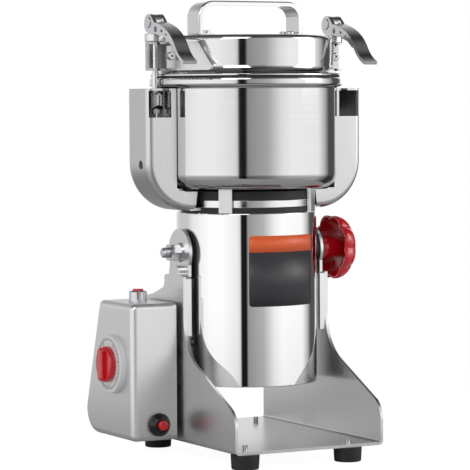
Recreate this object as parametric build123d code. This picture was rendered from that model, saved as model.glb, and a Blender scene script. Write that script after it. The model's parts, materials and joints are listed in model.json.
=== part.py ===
from build123d import *
import os
from math import atan2, cos, degrees, pi, radians, sin, sqrt

# Swing-type electric grain mill.  Millimetres, +Z up, the floor at Z = 0.
# While it is being built the motor axis is X = Y = 0: -Y is the front, the control box is on the -X side.
# The finished assembly is shifted so that its origin is the middle of its footprint.

# ---------------------------------------------------------------- driving dimensions
# base sheet
SHEET = 2.5                   # thickness of the bent base sheet
BASE_HALF_WIDTH = 68.2        # outer face of each side plate
BASE_FRONT = -108.0           # front edge of the floor
BASE_REAR = 93.0              # rear edge of the floor
BASE_BEND = 4.0               # outer bend radius between the floor and the plates
PIVOT_Z = 168.5               # tilt axis above the table
LOBE_R = 19.5                 # round top of each side plate
LOBE_INSET = 5.0              # how far the lobe stands in from the plate
NECK_HALF = 17.5              # half width of the neck below the lobe
TONGUE_HALF = 8.5             # half width of the channel where it runs up into the lobe
FRONT_SHOULDER_Z = 44.5       # corner where the sloping front edge meets the upright one
FRONT_SHOULDER_R = 18.0
NECK_CORNER_Z = 88.4          # corner where the sloping front edge meets the neck
NECK_CORNER_R = 42.0
REAR_CORNER_Z = 139.5         # corner where the rear edge leaves the neck
REAR_CORNER_R = 20.0
REAR_SHOULDER_Z = 123.0       # corner of the rear edge above the box
REAR_SHOULDER_R = 34.0
# feet
FOOT_H = 12.0
FOOT_R = 11.7
FOOT_BOTTOM_R = 11.0
FOOT_LEFT_X = -55.4
FOOT_RIGHT_X = 39.1
FOOT_FRONT_Y = -104.0 + 4.0
FOOT_REAR_Y = 58.0
FOOT_SCREW_R = 2.1
FOOT_SCREW_UP = 5.0           # thread standing above the floor sheet
# motor housing and what stands on it
HOUSING_R = 58.6
HOUSING_WALL = 1.5
HOUSING_BOTTOM = 59.0
HOUSING_TOP = 201.5
HOUSING_LIP_R = 40.0          # inner edge of the top lip
RING_R = 54.5                 # outer radius of the rings on the housing
LOWER_SEAL_H = 4.0
BRACKET_RING_H = 6.4
UPPER_SEAL_H = 7.1
PILLAR_WIDTH = 11.4
# bowl
BOWL_R = 76.2
BOWL_WALL = 2.0
BOWL_BOTTOM = 221.0
BOWL_CORNER_R = 12.0
RIM_R = 80.5
RIM_BOTTOM = 304.6
RIM_TOP = 312.8
# lid
GASKET_H = 1.2
LID_R = 72.4
LID_WALL = 1.8
LID_TOP = 347.0
LID_EDGE_R = 4.0
LID_FLANGE_R = 79.6
FLARE_R = 7.6
# lid handle
HANDLE_TOP = 376.0
HANDLE_HALF_SPAN = 49.0       # outer face of each leg
HANDLE_STRAP = 4.0
HANDLE_WIDTH = 22.0
HANDLE_CORNER_R = 14.0
HANDLE_FOOT = 15.0
# latch arms
ARM_HALF = 19.5               # half width front to rear
ARM_OUTER_X = 100.5
ARM_SHEET = 1.8
ARM_TOP = 303.6
ARM_BOTTOM = 203.3
ARM_CURVE_R = 40.0            # outer curve of the J
ARM_EDGE_R = 5.5              # rounded upright edges
ARM_END_X = 57.5
ARM_LIMB_TOP = 219.0
WINDOW_LOW = 280.0
# latches
LATCH_X = 83.8
BARREL_R = 7.4
BARREL_TURN_R = 6.3            # the barrel is trimmed round the rod to this radius
ROD_R = 2.2
SLEEVE_R = 2.9
SLEEVE_H = 13.0
LEVER_PIVOT_Z = 357.8
EYE_R = 6.6
EYE_WIDTH = 6.0
PIN_R = 4.2
CHEEK = 2.8
CAM_R = 7.8
CAM_LIFT = 0.9                # the cam's centre below the pin
WASHER_R = 8.6
WASHER_H = 6.4
EAR_SHEET = 1.8
EAR_TOP = 341.8
EAR_BOTTOM = 318.4
EAR_OUTER_X = 90.2
EAR_BACK_Y = 10.0
EAR_LIP_Y = -5.0
TAB_FRONT_Y = -16.0
# shaft line
SHAFT_R = 6.0
SHAFT_BOTTOM = 69.0
BEARING_R = 17.5
BEARING_H = 12.0
UPPER_BEARING_Z = 192.0
LOWER_BEARING_Z = 76.0
ARMATURE_R = 30.0
ARMATURE_LOW = 112.0
ARMATURE_HIGH = 156.0
STATOR_IN_R = 31.0
COMMUTATOR_R = 18.0
COMMUTATOR_LOW = 163.0
COMMUTATOR_HIGH = 182.0
FAN_R = 50.0
FAN_Z = 92.0
FAN_H = 11.0
BLADE_T = 2.4
LOWER_BLADE_Z = 231.0
UPPER_BLADE_Z = 249.0
LOWER_BLADE_R = 69.0
UPPER_BLADE_R = 60.0
# pivots
BOSS_R = 9.8
BOSS_INNER_X = 47.0
BOLT_R = 4.0
BOLT_TIP_X = 79.0
STUD_R = 4.9
NUT_FLATS = 13.0
NUT_H = 4.0
# clamp knob
KNOB_R = 28.0
KNOB_BACK_X = 80.5
KNOB_FRONT_X = 96.5
KNOB_LOBES = 8
KNOB_HUB_R = 10.0
# control box
BOX_GAP = 3.3                 # between the side plate and the box
BOX_DEPTH = 40.5
BOX_WALL = 1.2
BOX_FRONT = -11.0
BOX_TOP_REAR = 54.0
BOX_REAR = 81.5
BOX_BOTTOM = 14.6
BOX_TOP = 127.5
BOX_SLOPE_END_Z = 40.0
BOX_REAR_R = 20.0
BOX_EDGE_R = 5.0
DIAL_Y = 25.2
DIAL_Z = 76.3
DIAL_R = 24.4
DIAL_H = 5.2
TIMER_KNOB_R = 14.9
TIMER_KNOB_H = 5.0
TIMER_FIN_H = 8.5
SWITCH_Y = 19.4
COLLAR_R = 7.5
COLLAR_H = 9.0
BUTTON_R = 4.6
BUTTON_PROUD = 1.8
POWER_TRAVEL = 1.5
RESET_Z = 28.0
RESET_BEZEL_R = 9.6
RESET_BEZEL_H = 6.5
RESET_R = 4.0
RESET_PROUD = 4.0
RESET_TRAVEL = 2.5
GLAND_Z = 96.0
GLAND_R = 7.5
GLAND_BORE_R = 3.6
# clearances
RUN = 0.08                    # radial, shafts and pins that turn
LOOSE = 0.3                   # between pieces that move past each other
SNUG = 0.05                   # radial, round pieces fitted together
SLIP = 0.3                    # holes that screws pass through

# ---------------------------------------------------------------- levels worked out from them
FLOOR_TOP = FOOT_H + SHEET
LOBE_OUT_X = BASE_HALF_WIDTH - LOBE_INSET
LOBE_IN_X = LOBE_OUT_X - SHEET
PLATE_IN_X = BASE_HALF_WIDTH - SHEET
RING_LOW = HOUSING_TOP + LOWER_SEAL_H
RING_HIGH = RING_LOW + BRACKET_RING_H
SEAL_TOP = RING_HIGH + UPPER_SEAL_H
LID_BOTTOM = RIM_TOP + GASKET_H
BARREL_Z = ARM_TOP - ARM_SHEET - LOOSE - BARREL_R
BOX_IN_X = BASE_HALF_WIDTH + BOX_GAP
BOX_OUT_X = BOX_IN_X + BOX_DEPTH
BOX_MID_X = (BOX_IN_X + BOX_OUT_X) / 2
HOUSING_IN_R = HOUSING_R - HOUSING_WALL
CORE_R = HOUSING_IN_R - SNUG
SIDES = (-1, 1)

nodes = {}


# ---------------------------------------------------------------- helpers
def node(name, *solids):
    """Keep one sub-part under its name."""
    nodes[name] = list(solids)


def profile(points, plane=Plane.XY):
    """Face inside a closed outline of (u, v, corner radius) points."""
    corners = [(u, v) for u, v, _ in points]
    radii = [r for _, _, r in points]
    return plane * make_face(FilletPolyline(*corners, radius=radii, close=True))


def rod_x(r, x0, x1, y=0.0, z=0.0):
    """Round bar along X."""
    return Pos((x0 + x1) / 2, y, z) * Rot(0, 90, 0) * Cylinder(r, abs(x1 - x0))


def rod_y(r, y0, y1, x=0.0, z=0.0):
    """Round bar along Y."""
    return Pos(x, (y0 + y1) / 2, z) * Rot(90, 0, 0) * Cylinder(r, abs(y1 - y0))


def rod_z(r, z0, z1, x=0.0, y=0.0):
    """Round bar along Z."""
    return Pos(x, y, (z0 + z1) / 2) * Cylinder(r, z1 - z0)


def tube(r_out, r_in, z0, z1, x=0.0, y=0.0):
    """Upright ring."""
    return rod_z(r_out, z0, z1, x, y) - rod_z(r_in, z0 - 1, z1 + 1, x, y)


def block(x0, x1, y0, y1, z0, z1):
    """Box between two corners."""
    return Pos((x0 + x1) / 2, (y0 + y1) / 2, (z0 + z1) / 2) * Box(x1 - x0, y1 - y0, z1 - z0)


def slab_x(face_points, x0, x1):
    """Plate with a (y, z, radius) outline, from x0 to x1."""
    return extrude(profile(face_points, Plane.YZ.offset(x0)), x1 - x0)


def slab_y(face_points, y0, y1):
    """Plate with an (x, z, radius) outline, from y0 to y1."""
    return extrude(profile(face_points, Plane.XZ.offset(-y1)), y1 - y0)


def slab_z(face_points, z0, z1):
    """Plate with an (x, y, radius) outline, from z0 to z1."""
    return extrude(profile(face_points, Plane.XY.offset(z0)), z1 - z0)


def turned(points):
    """Body of revolution about Z from an (r, z, corner radius) outline."""
    return revolve(profile(points, Plane.XZ), Axis.Z)


def hex_nut_x(flats, x0, x1, y, z, bore):
    """Hexagon nut on an X axis."""
    blank = extrude(Plane.YZ.offset(x0) * RegularPolygon(flats / 2, 6, major_radius=False), x1 - x0)
    return Pos(0, y, z) * blank - rod_x(bore, x0 - 1, x1 + 1, y, z)


def mirrored(shape, side):
    """The shape as built on the +X side, or its mirror image on the -X side."""
    return shape if side > 0 else mirror(shape, Plane.YZ)


def turn_about_z(shape, angle):
    return Rot(0, 0, angle) * shape


# ---------------------------------------------------------------- base
def side_outline():
    """Outline of a side plate up to the neck, seen from the side."""
    return [
        (BASE_FRONT, FOOT_H, 0), (BASE_FRONT, FRONT_SHOULDER_Z, FRONT_SHOULDER_R),
        (-NECK_HALF, NECK_CORNER_Z, NECK_CORNER_R), (-NECK_HALF, PIVOT_Z - LOBE_R, 0),
        (NECK_HALF, PIVOT_Z - LOBE_R, 0), (NECK_HALF, REAR_CORNER_Z, 6.0),
        (NECK_HALF * 2.2, REAR_CORNER_Z - 7.0, REAR_CORNER_R),
        (BASE_REAR, REAR_SHOULDER_Z, REAR_SHOULDER_R), (BASE_REAR, FOOT_H, 0),
    ]


def channel_outline(inset):
    """Outline of the pressed channel: the neck, with a narrower round-ended tongue into the lobe."""
    neck_top = PIVOT_Z - LOBE_R + 1.0
    tongue_top = PIVOT_Z - KNOB_HUB_R - 1.0
    low = NECK_CORNER_Z + 12.0
    wide = NECK_HALF - inset
    slim = TONGUE_HALF - inset
    return [
        (-wide, low - 20.0 * (inset > 0), 0), (-wide, neck_top - inset, 4.0), (-slim, neck_top - inset, 2.0),
        (-slim, tongue_top - inset, slim * 0.5), (slim, tongue_top - inset, slim * 0.5),
        (slim, neck_top - inset, 2.0), (wide, neck_top - inset, 4.0), (wide, low - 20.0 * (inset > 0), 0),
    ]


def side_plate_top():
    """Channel and lobe on the +X side."""
    channel = slab_x(channel_outline(0.0), LOBE_IN_X, BASE_HALF_WIDTH)
    hollow = slab_x(channel_outline(SHEET), LOBE_IN_X - 1.0, PLATE_IN_X)
    lobe = rod_x(LOBE_R, LOBE_IN_X, LOBE_OUT_X, 0, PIVOT_Z)
    lobe += block(LOBE_IN_X, LOBE_OUT_X, -NECK_HALF, NECK_HALF, PIVOT_Z - LOBE_R, PIVOT_Z - LOBE_R / 2)
    return lobe + channel - hollow


def base_frame():
    """Floor and side plates bent from one sheet."""
    outer = [
        (-BASE_HALF_WIDTH, PIVOT_Z, 0), (-BASE_HALF_WIDTH, FOOT_H, BASE_BEND),
        (BASE_HALF_WIDTH, FOOT_H, BASE_BEND), (BASE_HALF_WIDTH, PIVOT_Z, 0),
    ]
    inner_bend = BASE_BEND - SHEET
    inner = [
        (-PLATE_IN_X, PIVOT_Z + 1, 0), (-PLATE_IN_X, FLOOR_TOP, inner_bend),
        (PLATE_IN_X, FLOOR_TOP, inner_bend), (PLATE_IN_X, PIVOT_Z + 1, 0),
    ]
    bent = slab_y(outer, BASE_FRONT, BASE_REAR) - slab_y(inner, BASE_FRONT - 1, BASE_REAR + 1)
    frame = bent & slab_x(side_outline(), -BASE_HALF_WIDTH - 1, BASE_HALF_WIDTH + 1)
    hollow = slab_x(channel_outline(SHEET), LOBE_IN_X - 1.0, PLATE_IN_X)
    for side in SIDES:
        frame -= mirrored(hollow, side)
        frame += mirrored(side_plate_top(), side)
    frame -= rod_x(BOLT_R + SLIP, -BASE_HALF_WIDTH, 0, 0, PIVOT_Z)
    frame -= rod_x(STUD_R + SLIP, 0, BASE_HALF_WIDTH, 0, PIVOT_Z)
    for x, y in foot_places():
        frame -= rod_z(FOOT_SCREW_R + SNUG, FOOT_H - 1, FLOOR_TOP + 1, x, y)
    for y, z in box_screw_places():
        frame -= rod_x(BOX_SCREW_R + SNUG, -BASE_HALF_WIDTH - 1, -PLATE_IN_X + 1, y, z)
    return frame


def foot_places():
    return [(x, y) for x in (FOOT_LEFT_X, FOOT_RIGHT_X) for y in (FOOT_FRONT_Y, FOOT_REAR_Y)]


def rubber_foot(x, y):
    """Tapered foot with a screw recess."""
    body = turned([(0, 0, 0), (FOOT_BOTTOM_R, 0, 1.0), (FOOT_R, FOOT_H, 0.6), (0, FOOT_H, 0)])
    body -= rod_z(FOOT_RECESS_R, -1, FOOT_RECESS_H)
    body -= rod_z(FOOT_SCREW_R + SNUG, 0, FOOT_H + 1)
    return Pos(x, y, 0) * body


def foot_screw(x, y):
    head = rod_z(FOOT_RECESS_R - 1.0, FOOT_RECESS_H - 2.4, FOOT_RECESS_H, x, y)
    return head + rod_z(FOOT_SCREW_R, FOOT_RECESS_H, FLOOR_TOP + FOOT_SCREW_UP, x, y)


FOOT_RECESS_R = 5.5
FOOT_RECESS_H = 4.0
BOX_SCREW_R = 2.0


# ---------------------------------------------------------------- control box
def box_screw_places():
    """Screws that hold the box to the side plate, through its spacers."""
    return [(BOX_FRONT + 9.0, BOX_TOP - 34.0), (BOX_FRONT + 9.0, BOX_BOTTOM + 47.0),
            (BOX_TOP_REAR - 4.0, BOX_BOTTOM + 68.0)]


def box_outline(inset=0.0):
    """Side view of the box: upright front, sloping rear with a large lower curve."""
    slope = (BOX_REAR - BOX_TOP_REAR) / (BOX_TOP - BOX_SLOPE_END_Z)
    rear = BOX_REAR + slope * (BOX_SLOPE_END_Z - BOX_BOTTOM)
    return [
        (BOX_FRONT + inset, BOX_BOTTOM + inset, 4.0), (BOX_FRONT + inset, BOX_TOP - inset, 4.0),
        (BOX_TOP_REAR - inset, BOX_TOP - inset, 4.0),
        (rear - inset * (1 + slope), BOX_BOTTOM + inset, BOX_REAR_R),
    ]


def box_cover():
    """Formed sheet cover, open towards the side plate."""
    body = slab_x(box_outline(), -BOX_OUT_X, -BOX_IN_X)
    outer_rim = body.faces().sort_by(Axis.X)[0].edges()
    body = fillet(outer_rim, BOX_EDGE_R)
    cover = offset(body, amount=-BOX_WALL, openings=body.faces().sort_by(Axis.X)[-1])
    cover -= rod_x(TIMER_BUSH_R + SLIP, -BOX_OUT_X - 1, -BOX_OUT_X + 2 * BOX_WALL, DIAL_Y, DIAL_Z)
    cover -= rod_z(SWITCH_BODY_R + SLIP, BOX_TOP - 2 * BOX_WALL, BOX_TOP + 1, -BOX_MID_X, SWITCH_Y)
    cover -= rod_y(RESET_NECK_R + SLIP, BOX_FRONT - 1, BOX_FRONT + 2 * BOX_WALL, -RESET_X, RESET_Z)
    cover -= gland_axis() * Cylinder(GLAND_NECK_R + SLIP, 12.0)
    return cover


def rear_slope_angle():
    """Lean of the box's rear face from upright, in degrees."""
    return degrees(atan2(BOX_REAR - BOX_TOP_REAR, BOX_TOP - BOX_SLOPE_END_Z))


def gland_axis():
    """Frame on the rear face at the gland, its Z pointing out of the box."""
    share = (BOX_TOP - GLAND_Z) / (BOX_TOP - BOX_SLOPE_END_Z)
    y = BOX_TOP_REAR + share * (BOX_REAR - BOX_TOP_REAR)
    return Pos(-BOX_MID_X, y, GLAND_Z) * Rot(-90 + rear_slope_angle(), 0, 0)


TIMER_BUSH_R = 5.0
TIMER_SHAFT_R = 3.0
SWITCH_BODY_R = 5.8
RESET_NECK_R = 5.2
RESET_X = BOX_MID_X - 3.5
GLAND_NECK_R = 6.0


def box_back_plate():
    plate = slab_x(box_outline(BOX_WALL + LOOSE / 2), -BOX_IN_X - 1.5, -BOX_IN_X)
    plate -= rod_x(7.0, -BOX_IN_X - 3, -BOX_IN_X + 1, DIAL_Y + 6, BOX_TOP - 12)
    for y, z in box_screw_places():
        plate -= rod_x(BOX_SCREW_R + SNUG, -BOX_IN_X - 3, -BOX_IN_X + 1, y, z)
    return plate


def box_spacer(y, z):
    return rod_x(6.0, -BOX_IN_X, -BASE_HALF_WIDTH, y, z) - rod_x(BOX_SCREW_R + SNUG, -BOX_IN_X, 0, y, z)


def box_screw(y, z):
    """Screw from inside the base, through plate and spacer into the back plate."""
    head = rod_x(3.6, -PLATE_IN_X, -PLATE_IN_X + 2.0, y, z)
    return head + rod_x(BOX_SCREW_R, -BOX_IN_X - 3.5, -PLATE_IN_X, y, z)


def timer_mechanism():
    """Clockwork body behind the face, with its bush and the dial's seat."""
    face_x = -BOX_OUT_X + BOX_WALL
    body = block(face_x, face_x + 24.0, DIAL_Y - 19, DIAL_Y + 19, DIAL_Z - 21, DIAL_Z + 21)
    body = fillet(body.edges().filter_by(Axis.X), 3.0)
    body += rod_x(TIMER_BUSH_R, -BOX_OUT_X - 2.0, face_x, DIAL_Y, DIAL_Z)
    return body - rod_x(TIMER_SHAFT_R + RUN, -BOX_OUT_X - 3.0, face_x + 14.0, DIAL_Y, DIAL_Z)


def timer_dial():
    """Round dial plate with a raised rim."""
    face = -BOX_OUT_X - DIAL_H
    disc = rod_x(DIAL_R, face, -BOX_OUT_X, DIAL_Y, DIAL_Z)
    disc = chamfer(disc.edges().sort_by(Axis.X)[0], 0.8)
    disc -= rod_x(DIAL_R - 2.6, face - 1, face + 0.6, DIAL_Y, DIAL_Z)
    disc -= rod_x(TIMER_BUSH_R + SNUG, face - 1, -BOX_OUT_X + 1, DIAL_Y, DIAL_Z)
    return disc


def timer_knob():
    """Round knob with a grip fin, on the timer's shaft."""
    base = -BOX_OUT_X - DIAL_H + 0.6 - LOOSE
    tip = base - TIMER_KNOB_H
    knob = rod_x(TIMER_KNOB_R, tip, base, DIAL_Y, DIAL_Z)
    knob = fillet(knob.edges().sort_by(Axis.X)[0], 1.6)
    fin_half = 4.2
    fin = [
        (DIAL_Y - fin_half, DIAL_Z - TIMER_KNOB_R + 1.2, 3.0), (DIAL_Y + fin_half, DIAL_Z - TIMER_KNOB_R + 1.2, 3.0),
        (DIAL_Y + fin_half, DIAL_Z + TIMER_KNOB_R - 1.2, 3.0), (DIAL_Y - fin_half, DIAL_Z + TIMER_KNOB_R - 1.2, 3.0),
    ]
    grip = slab_x(fin, base - TIMER_FIN_H, base)
    grip = chamfer(grip.faces().sort_by(Axis.X)[0].edges(), 1.2)
    shaft = rod_x(TIMER_SHAFT_R, base, -BOX_OUT_X + BOX_WALL + 12.0, DIAL_Y, DIAL_Z)
    return knob + grip + shaft


def power_switch():
    """Switch body inside the box, under the collar."""
    top = BOX_TOP - BOX_WALL
    body = block(-BOX_MID_X - 8, -BOX_MID_X + 8, SWITCH_Y - 8, SWITCH_Y + 8, top - 18.0, top)
    body += rod_z(SWITCH_BODY_R, top, BOX_TOP + COLLAR_H - 2.0, -BOX_MID_X, SWITCH_Y)
    bore = rod_z(BUTTON_R + RUN, top - 6.0, BOX_TOP + COLLAR_H, -BOX_MID_X, SWITCH_Y)
    return body - bore


def power_collar():
    """Polished collar around the power button."""
    ring = tube(COLLAR_R, SWITCH_BODY_R + SNUG, BOX_TOP, BOX_TOP + COLLAR_H - 2.0, -BOX_MID_X, SWITCH_Y)
    cap = tube(COLLAR_R, BUTTON_R + RUN, BOX_TOP + COLLAR_H - 2.0, BOX_TOP + COLLAR_H, -BOX_MID_X, SWITCH_Y)
    return chamfer((ring + cap).edges().group_by(Axis.Z)[-1].sort_by(SortBy.RADIUS)[-1], 0.7)


def power_button():
    low = BOX_TOP - BOX_WALL - 6.0 + POWER_TRAVEL + LOOSE
    body = rod_z(BUTTON_R, low, BOX_TOP + COLLAR_H + BUTTON_PROUD, -BOX_MID_X, SWITCH_Y)
    return fillet(body.edges().sort_by(Axis.Z)[-1], 0.8)


def overload_breaker():
    """Breaker body behind the front face, with its threaded neck."""
    back = BOX_FRONT + BOX_WALL
    body = block(-RESET_X - 8, -RESET_X + 8, back, back + 26.0, RESET_Z - 7, RESET_Z + 10)
    body += rod_y(RESET_NECK_R, BOX_FRONT - 3.0, back, -RESET_X, RESET_Z)
    return body - rod_y(RESET_R + RUN, BOX_FRONT - 4.0, back + 8.0, -RESET_X, RESET_Z)


def overload_bezel():
    """Domed black bezel screwed on the breaker's neck."""
    dome = Pos(-RESET_X, BOX_FRONT, RESET_Z) * Rot(90, 0, 0) * turned([
        (0, 0, 0), (RESET_BEZEL_R, 0, 0), (RESET_BEZEL_R, 2.4, 1.2), (RESET_BEZEL_R * 0.62, RESET_BEZEL_H, 2.2),
        (0, RESET_BEZEL_H, 0),
    ])
    dome -= rod_y(RESET_NECK_R + SNUG, BOX_FRONT - 3.0, BOX_FRONT + 1, -RESET_X, RESET_Z)
    return dome - rod_y(RESET_R + RUN, BOX_FRONT - RESET_BEZEL_H - 1, BOX_FRONT + 1, -RESET_X, RESET_Z)


def overload_button():
    tip = BOX_FRONT - RESET_BEZEL_H - RESET_PROUD
    end = BOX_FRONT + BOX_WALL + 8.0 - RESET_TRAVEL - LOOSE
    body = rod_y(RESET_R, tip, end, -RESET_X, RESET_Z)
    return fillet(body.edges().sort_by(Axis.Y)[0], 1.2)


def cable_gland():
    """Gland with a flange outside, a hexagon and a neck through the rear face."""
    gland = Cylinder(GLAND_NECK_R, 9.0, align=(Align.CENTER, Align.CENTER, Align.MAX))
    gland += Cylinder(GLAND_R + 1.5, 2.0, align=(Align.CENTER, Align.CENTER, Align.MIN))
    gland += Pos(0, 0, 2.0) * extrude(RegularPolygon(GLAND_R, 6), 4.0)
    gland += Pos(0, 0, 6.0) * Cone(GLAND_R - 1.0, GLAND_R - 2.8, 5.0, align=(Align.CENTER, Align.CENTER, Align.MIN))
    gland -= Cylinder(GLAND_BORE_R, 60.0)
    return gland_axis() * gland


# ---------------------------------------------------------------- tilt pivots
def pivot_boss(side):
    """Threaded boss welded through the housing wall."""
    bore = (BOLT_R if side < 0 else STUD_R) + RUN
    boss = rod_x(BOSS_R, BOSS_INNER_X, HOUSING_R, 0, PIVOT_Z)
    boss -= rod_x(bore, BOSS_INNER_X - 1, HOUSING_R + 1, 0, PIVOT_Z)
    return mirrored(boss, side)


def thrust_washer(side):
    """Fibre washer between the housing and the lobe."""
    bore = (BOLT_R if side < 0 else STUD_R) + SLIP
    ring = rod_x(BOSS_R - LOOSE, HOUSING_R, LOBE_IN_X - LOOSE, 0, PIVOT_Z)
    ring -= rod_x(bore, HOUSING_R - 1, LOBE_IN_X, 0, PIVOT_Z)
    return mirrored(ring, side)


def pivot_bolt():
    """Threaded bolt of the left pivot, running in its boss."""
    bolt = rod_x(BOLT_R, -BOLT_TIP_X, -BOSS_INNER_X, 0, PIVOT_Z)
    return chamfer(bolt.edges().sort_by(Axis.X)[0], 0.8)


def pivot_nuts():
    """Washer and two nuts outside the left lobe."""
    start = LOBE_OUT_X
    washer = rod_x(NUT_FLATS * 0.62, -start - 1.6, -start, 0, PIVOT_Z)
    washer -= rod_x(BOLT_R + SNUG, -start - 3, -start + 1, 0, PIVOT_Z)
    inner = start + 1.6
    nuts = [hex_nut_x(NUT_FLATS, -inner - (i + 1) * NUT_H, -inner - i * NUT_H, 0, PIVOT_Z, BOLT_R + SNUG)
            for i in range(2)]
    return [washer] + nuts


def knob_section(r, lobes, depth, steps=6):
    """Scalloped outline with round lobes, in the YZ plane."""
    points = []
    for i in range(lobes * steps):
        angle = 2 * pi * i / (lobes * steps)
        wave = abs(cos(lobes * angle / 2))
        radius = r - depth * (1 - wave)
        points.append((radius * cos(angle), radius * sin(angle)))
    return make_face(Spline(*points, periodic=True))


def clamp_knob():
    """Hollow lobed hand knob: scalloped skirt, domed front, ribbed hollow back and a hub."""
    back = Plane.YZ.offset(KNOB_BACK_X) * knob_section(KNOB_R, KNOB_LOBES, 3.2)
    front = Plane.YZ.offset(KNOB_FRONT_X) * knob_section(KNOB_R * 0.74, KNOB_LOBES, 2.2)
    body = loft([back, front])
    wall = 3.0
    hollow_back = Plane.YZ.offset(KNOB_BACK_X - 0.01) * knob_section(KNOB_R - wall, KNOB_LOBES, 3.0)
    hollow_front = Plane.YZ.offset(KNOB_FRONT_X - 4.0) * knob_section(KNOB_R * 0.74 - 1.0, KNOB_LOBES, 2.0)
    body -= loft([hollow_back, hollow_front])
    for i in range(KNOB_LOBES // 2):
        rib = block(KNOB_BACK_X + 4.0, KNOB_FRONT_X - 3.0, -KNOB_R + 5.0, KNOB_R - 5.0, -0.9, 0.9)
        body += Rot(i * 360 / KNOB_LOBES, 0, 0) * rib
    body += rod_x(KNOB_HUB_R - 1.0, LOBE_OUT_X + LOOSE + 2.0, KNOB_FRONT_X - 2.0)
    body -= rod_x(STUD_R + SNUG, 0, KNOB_FRONT_X - 6.0)
    return Pos(0, 0, PIVOT_Z) * body


def clamp_stud():
    """Stud and pressure washer fixed in the knob, running in the right boss."""
    stud = rod_x(STUD_R, BOSS_INNER_X + 1.0, KNOB_FRONT_X - 6.0, 0, PIVOT_Z)
    return stud + rod_x(KNOB_HUB_R, LOBE_OUT_X + LOOSE, LOBE_OUT_X + LOOSE + 2.0, 0, PIVOT_Z)


# ---------------------------------------------------------------- motor unit
def motor_housing():
    """Polished tube with a turned-in top lip."""
    wall = HOUSING_WALL
    shell = turned([
        (HOUSING_IN_R, HOUSING_BOTTOM, 0), (HOUSING_R, HOUSING_BOTTOM, 0.5), (HOUSING_R, HOUSING_TOP, 1.2),
        (HOUSING_LIP_R, HOUSING_TOP, 0), (HOUSING_LIP_R, HOUSING_TOP - wall, 0), (HOUSING_IN_R, HOUSING_TOP - wall, 0),
    ])
    shell -= rod_x(BOSS_R + SNUG, -HOUSING_R - 1, HOUSING_R + 1, 0, PIVOT_Z)
    for x, y in bracket_bolt_places():
        shell -= rod_z(BRACKET_BOLT_R + SLIP, HOUSING_TOP - 3, HOUSING_TOP + 1, x, y)
    return shell


BRACKET_BOLT_R = 2.0
BRACKET_BOLT_CIRCLE = 46.0


def bracket_bolt_places():
    """Bolts through the upper bracket, seal and housing lip; two of them hold each arm's tongue."""
    angles = (-14, 14, 166, 194)
    return [(BRACKET_BOLT_CIRCLE * cos(radians(a)), BRACKET_BOLT_CIRCLE * sin(radians(a))) for a in angles]


def bottom_cover():
    """Vented disc in the housing's lower end."""
    disc = rod_z(CORE_R, HOUSING_BOTTOM + 2.0, HOUSING_BOTTOM + 4.0)
    for i in range(12):
        slot = slab_z([(24, -2.5, 2.4), (46, -2.5, 2.4), (46, 2.5, 2.4), (24, 2.5, 2.4)],
                      HOUSING_BOTTOM, HOUSING_BOTTOM + 6)
        disc -= turn_about_z(slot, i * 30)
    return disc


def upper_bracket():
    """Bright ring with a web and the upper bearing's hub."""
    ring = turned([
        (RING_R - 8, RING_LOW, 0), (RING_R, RING_LOW, 0.6), (RING_R, RING_HIGH, 0.6), (RING_R - 4, RING_HIGH, 0),
        (RING_R - 4, RING_LOW + 3.5, 0), (RING_R - 8, RING_LOW + 3.5, 0),
    ])
    web = tube(RING_R - 6, SHAFT_R + 4, RING_LOW, RING_LOW + 3.5)
    hub = tube(BEARING_R + 4, SHAFT_R + 4, UPPER_BEARING_Z, RING_LOW + 3.5)
    part = ring + web + hub - rod_z(BEARING_R + SNUG, UPPER_BEARING_Z - 1, UPPER_BEARING_Z + BEARING_H)
    for x, y in bracket_bolt_places():
        part -= rod_z(BRACKET_BOLT_R + SNUG, RING_LOW - 1, RING_HIGH + 1, x, y)
    return part


def bracket_bolt(x, y):
    head = rod_z(3.5, RING_LOW + 3.5, RING_LOW + 6.0, x, y)
    return head + rod_z(BRACKET_BOLT_R, HOUSING_TOP - 4.0, RING_LOW + 3.5, x, y)


def seal_rings():
    """Black rubber rings below and above the bracket ring."""
    lower = tube(RING_R, HOUSING_LIP_R + 1.0, HOUSING_TOP, RING_LOW)
    for side in SIDES:
        tongue = block(HOUSING_LIP_R / 2, ARM_END_X + 6, -ARM_TONGUE_HALF, ARM_TONGUE_HALF, ARM_BOTTOM, RING_LOW + 1)
        lower -= mirrored(tongue, side)
    for x, y in bracket_bolt_places():
        lower -= rod_z(BRACKET_BOLT_R + SLIP, HOUSING_TOP - 1, RING_LOW + 1, x, y)
    upper = tube(RING_R, RING_R - 9, RING_HIGH, SEAL_TOP)
    upper -= tube(RING_R - 4, RING_R - 10, RING_HIGH - 1, RING_HIGH + 1.5)
    return [lower, upper]


ARM_TONGUE_HALF = ARM_HALF - 2.0


def lower_bracket():
    """Spider that carries the lower bearing."""
    rim = tube(CORE_R, CORE_R - 4, LOWER_BEARING_Z + 2, LOWER_BEARING_Z + 12)
    hub = tube(BEARING_R + 4, BEARING_R + SNUG, LOWER_BEARING_Z, LOWER_BEARING_Z + BEARING_H)
    floor = tube(BEARING_R + 4, SHAFT_R + 4, LOWER_BEARING_Z - 2.5, LOWER_BEARING_Z)
    spider = rim + hub + floor
    for i in range(4):
        arm = block(BEARING_R + 2, CORE_R - 3, -5, 5, LOWER_BEARING_Z + 2, LOWER_BEARING_Z + 8)
        spider += turn_about_z(arm, 45 + i * 90)
    return spider


def bearing(z):
    """Ball bearing, drawn as one ring with its race groove."""
    ring = tube(BEARING_R, SHAFT_R + SNUG, z, z + BEARING_H)
    return ring - tube(BEARING_R - 3.5, SHAFT_R + 3.5, z + BEARING_H - 1.2, z + BEARING_H + 1)


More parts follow.
